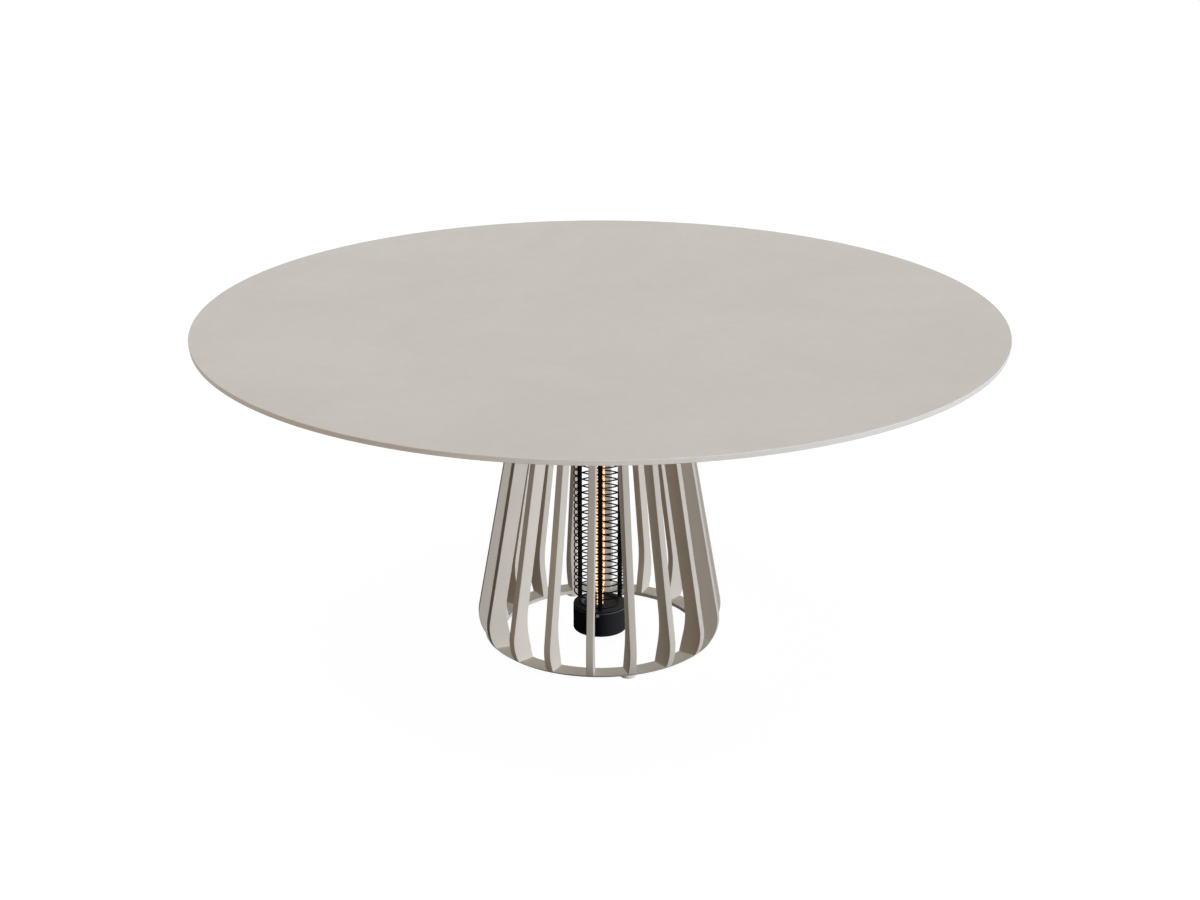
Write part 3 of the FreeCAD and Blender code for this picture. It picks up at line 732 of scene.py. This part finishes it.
def make_posts(material):
    """Guard posts with thinner ends that reach into the lid and the housing."""
    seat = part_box("heater_lid")[1].z - POST_SEAT_DEPTH
    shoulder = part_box("heater_housing")[0].z
    for i in range(POST_COUNT):
        node = f"guard_post_{i + 1}"
        low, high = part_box(node)
        outline = [
            (0.0, low.z),
            (POST_END_RADIUS, low.z),
            (POST_END_RADIUS, seat),
            (POST_RADIUS, seat),
            (POST_RADIUS, shoulder),
            (POST_END_RADIUS, shoulder),
            (POST_END_RADIUS, high.z),
            (0.0, high.z),
        ]
        mesh = lathe_mesh(f"coated_post_{i + 1}", outline, ROD_SEGMENTS)
        middle = (low + high) / 2
        mesh.transform(Matrix.Translation((middle.x, middle.y, 0.0)))
        finish_piece(mesh, material, node)


def make_lamp_tube(material):
    """Quartz tube, narrower at its foot."""
    low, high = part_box("lamp_tube")
    shoulder = LAMP_NECK_TOP + LAMP_SHOULDER
    outline = [
        (LAMP_NECK_RADIUS - LAMP_WALL, low.z),
        (LAMP_NECK_RADIUS, low.z),
        (LAMP_NECK_RADIUS, LAMP_NECK_TOP),
        (LAMP_RADIUS, shoulder),
        (LAMP_RADIUS, high.z),
        (LAMP_RADIUS - LAMP_WALL, high.z),
        (LAMP_RADIUS - LAMP_WALL, shoulder),
        (LAMP_NECK_RADIUS - LAMP_WALL, LAMP_NECK_TOP),
    ]
    mesh = lathe_mesh("quartz_tube", outline, LAMP_SEGMENTS, closed=True)
    finish_piece(mesh, material, "lamp_tube")


def make_coil(material):
    """Heating coil that follows the tube's narrower foot."""
    low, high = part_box("heating_element")
    turns = (high.z - low.z) / COIL_PITCH
    count = int(turns * COIL_POINTS_PER_TURN)
    helix = []
    for k in range(count + 1):
        height = low.z + (high.z - low.z) * k / count
        widening = min(max((height - LAMP_NECK_TOP) / LAMP_SHOULDER, 0.0), 1.0)
        radius = COIL_NECK_RADIUS + (COIL_RADIUS - COIL_NECK_RADIUS) * widening
        azimuth = COIL_START_AZIMUTH + 360.0 * turns * k / count
        helix.append(direction(azimuth) * radius + lift(height))
    mesh = swept_mesh("glowing_coil", [helix], COIL_WIRE_RADIUS, COIL_WIRE_SIDES, closed=False)
    finish_piece(mesh, material, "heating_element")


def make_core(material):
    """Hot core inside the coil."""
    low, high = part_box("heating_element")
    outline = [
        (0.0, low.z),
        (CORE_NECK_RADIUS, low.z),
        (CORE_NECK_RADIUS, LAMP_NECK_TOP),
        (CORE_RADIUS, LAMP_NECK_TOP + LAMP_SHOULDER),
        (CORE_RADIUS, high.z),
        (0.0, high.z),
    ]
    mesh = lathe_mesh("glowing_core", outline, ROD_SEGMENTS)
    finish_piece(mesh, material, "heating_element")


# Solids that keep their shapes


def numbered(stem, count):
    """Names of solids that are numbered from 1."""
    return [f"{stem}_{i + 1}" for i in range(count)]


def dress(names, material):
    """Give carried-over solids a finish."""
    for name in names:
        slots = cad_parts[name].data.materials
        slots.clear()
        slots.append(material)


def dress_solids(coat, black):
    """Finishes of all the solids that no piece replaces."""
    dress(numbered("support_arm", ARM_COUNT) + ["base_ring", "head_plate"], coat)
    dress(["heater_housing", "heater_flange", "heater_flange_screws"], black)
    dress(["guard_post_nuts", "cable_gland", "terminal_block", "thermal_cutout"], black)
    dress(["arm_end_caps"], black)
    dress(["heater_rim_screws"], coat_material(BLACKENED_STEEL))
    dress(["lamp_sockets", "lamp_end_caps"], coat_material(DARK_CERAMIC))
    dress(numbered("foot_pad", FOOT_COUNT) + ["silicone_pads"], coat_material(PALE_PLASTIC))
    dress(numbered("foot_stud", FOOT_COUNT) + ["arm_screws"], coat_material(SCREW_STEEL))


# Stage: world, floor, lamps and camera


def background_share(tree):
    """1 for rays that should see a white background: from the camera, in gloss, through glass."""
    path = tree.nodes.new("ShaderNodeLightPath")
    first = tree.nodes.new("ShaderNodeMath")
    first.operation = "MAXIMUM"
    tree.links.new(path.outputs["Is Camera Ray"], first.inputs[0])
    tree.links.new(path.outputs["Is Glossy Ray"], first.inputs[1])
    second = tree.nodes.new("ShaderNodeMath")
    second.operation = "MAXIMUM"
    tree.links.new(first.outputs["Value"], second.inputs[0])
    tree.links.new(path.outputs["Is Transmission Ray"], second.inputs[1])
    return second.outputs["Value"]


def make_world():
    """Faint warm light on the table in front of a white background."""
    world = bpy.data.worlds.new("studio")
    bpy.context.scene.world = world
    world.use_nodes = True
    tree = world.node_tree
    fill = tree.nodes["Background"]
    fill.inputs["Color"].default_value = WORLD_TINT
    fill.inputs["Strength"].default_value = WORLD_FILL
    white = tree.nodes.new("ShaderNodeBackground")
    white.inputs["Color"].default_value = WHITE
    white.inputs["Strength"].default_value = 1.0
    mix = tree.nodes.new("ShaderNodeMixShader")
    tree.links.new(background_share(tree), mix.inputs["Fac"])
    tree.links.new(fill.outputs["Background"], mix.inputs[1])
    tree.links.new(white.outputs["Background"], mix.inputs[2])
    tree.links.new(mix.outputs["Shader"], tree.nodes["World Output"].inputs["Surface"])


def make_floor():
    """White floor that keeps a faint shadow and bounces light back up."""
    mesh = bpy.data.meshes.new("floor")
    half = FLOOR_SIZE / 2
    corners = [(-half, -half, 0.0), (half, -half, 0.0), (half, half, 0.0), (-half, half, 0.0)]
    mesh.from_pydata(corners, [], [(0, 1, 2, 3)])
    floor = bpy.data.objects.new("floor", mesh)
    bpy.context.scene.collection.objects.link(floor)
    material = bpy.data.materials.new("white_floor")
    material.use_nodes = True
    tree = material.node_tree
    tree.nodes.remove(tree.nodes["Principled BSDF"])
    shade = tree.nodes.new("ShaderNodeBsdfDiffuse")
    shade.inputs["Color"].default_value = FLOOR_SHADOW
    white = tree.nodes.new("ShaderNodeEmission")
    white.inputs["Strength"].default_value = FLOOR_WHITE
    seen = tree.nodes.new("ShaderNodeAddShader")
    tree.links.new(shade.outputs["BSDF"], seen.inputs[0])
    tree.links.new(white.outputs["Emission"], seen.inputs[1])
    bounce = tree.nodes.new("ShaderNodeBsdfDiffuse")
    bounce.inputs["Color"].default_value = FLOOR_BOUNCE
    mix = tree.nodes.new("ShaderNodeMixShader")
    tree.links.new(background_share(tree), mix.inputs["Fac"])
    tree.links.new(bounce.outputs["BSDF"], mix.inputs[1])
    tree.links.new(seen.outputs["Shader"], mix.inputs[2])
    tree.links.new(mix.outputs["Shader"], tree.nodes["Material Output"].inputs["Surface"])
    mesh.materials.append(material)


def make_sun(sun):
    """Broad even light; a level of 1 shows a matt colour that faces it as it is written."""
    light = bpy.data.lights.new(sun.name, "SUN")
    light.energy = sun.level * math.pi
    light.color = sun.colour
    light.angle = math.radians(sun.spread)
    light.use_shadow = sun.shadow
    lamp = bpy.data.objects.new(sun.name, light)
    lamp.visible_glossy = sun.gloss
    elevation = math.radians(sun.elevation)
    source = direction(sun.azimuth) * math.cos(elevation) + lift(math.sin(elevation))
    lamp.location = source * SUN_DISTANCE
    lamp.rotation_euler = source.to_track_quat("Z", "Y").to_euler()
    bpy.context.scene.collection.objects.link(lamp)
    return lamp


def link_light(lamp, pieces, state="INCLUDE"):
    """Keep a lamp's light to these pieces, or with the state EXCLUDE away from them."""
    group = bpy.data.collections.new(f"{state.lower()}_{lamp.name}")
    lamp.light_linking.receiver_collection = group
    for piece in pieces:
        group.objects.link(piece)
    for member in group.collection_objects:
        member.light_linking.link_state = state


def make_lamps(top, slats, shells):
    """Lamps for the whole table, and three that light only some of its pieces."""
    for sun in SUNS:
        lamp = make_sun(sun)
        if sun.name in HEATER_SPARED:
            link_light(lamp, shells, "EXCLUDE")
    link_light(make_sun(RIM_FILL), [top])
    link_light(make_sun(EDGE_FILL), slats[-EDGE_FILL_SLATS:])
    link_light(make_sun(HEATER_KEY), shells)


def make_camera():
    """Camera that looks down on the table from the front."""
    data = bpy.data.cameras.new("camera")
    data.sensor_width = CAMERA_SENSOR
    data.lens = CAMERA_LENS
    camera = bpy.data.objects.new("camera", data)
    camera.location = CAMERA_PLACE
    camera.rotation_euler = (math.radians(90.0 - CAMERA_PITCH), 0.0, 0.0)
    bpy.context.scene.collection.objects.link(camera)
    bpy.context.scene.camera = camera


def main():
    """Pieces, finishes and stage."""
    coat = coat_material(POWDER_COAT)
    black = coat_material(SATIN_BLACK)
    wire = coat_material(BLACK_WIRE)
    shade_black = coat_material(SHADE_BLACK)

    top = make_table_top(stone_material())
    slats = make_slats(coat)
    shells = [
        make_cup(black, coat_material(LIP_HIGHLIGHT)),
        make_lid(coat_material(LIT_LID_BLACK), shade_black),
        make_gasket(shade_black),
    ]
    make_guard(wire)
    make_posts(wire)
    make_lamp_tube(quartz_material())
    make_coil(glow_material(COIL_GLOW))
    make_core(glow_material(CORE_GLOW))
    dress_solids(coat, black)

    make_world()
    make_floor()
    make_lamps(top, slats, shells)
    make_camera()
    bpy.context.scene.view_settings.view_transform = "Standard"


main()
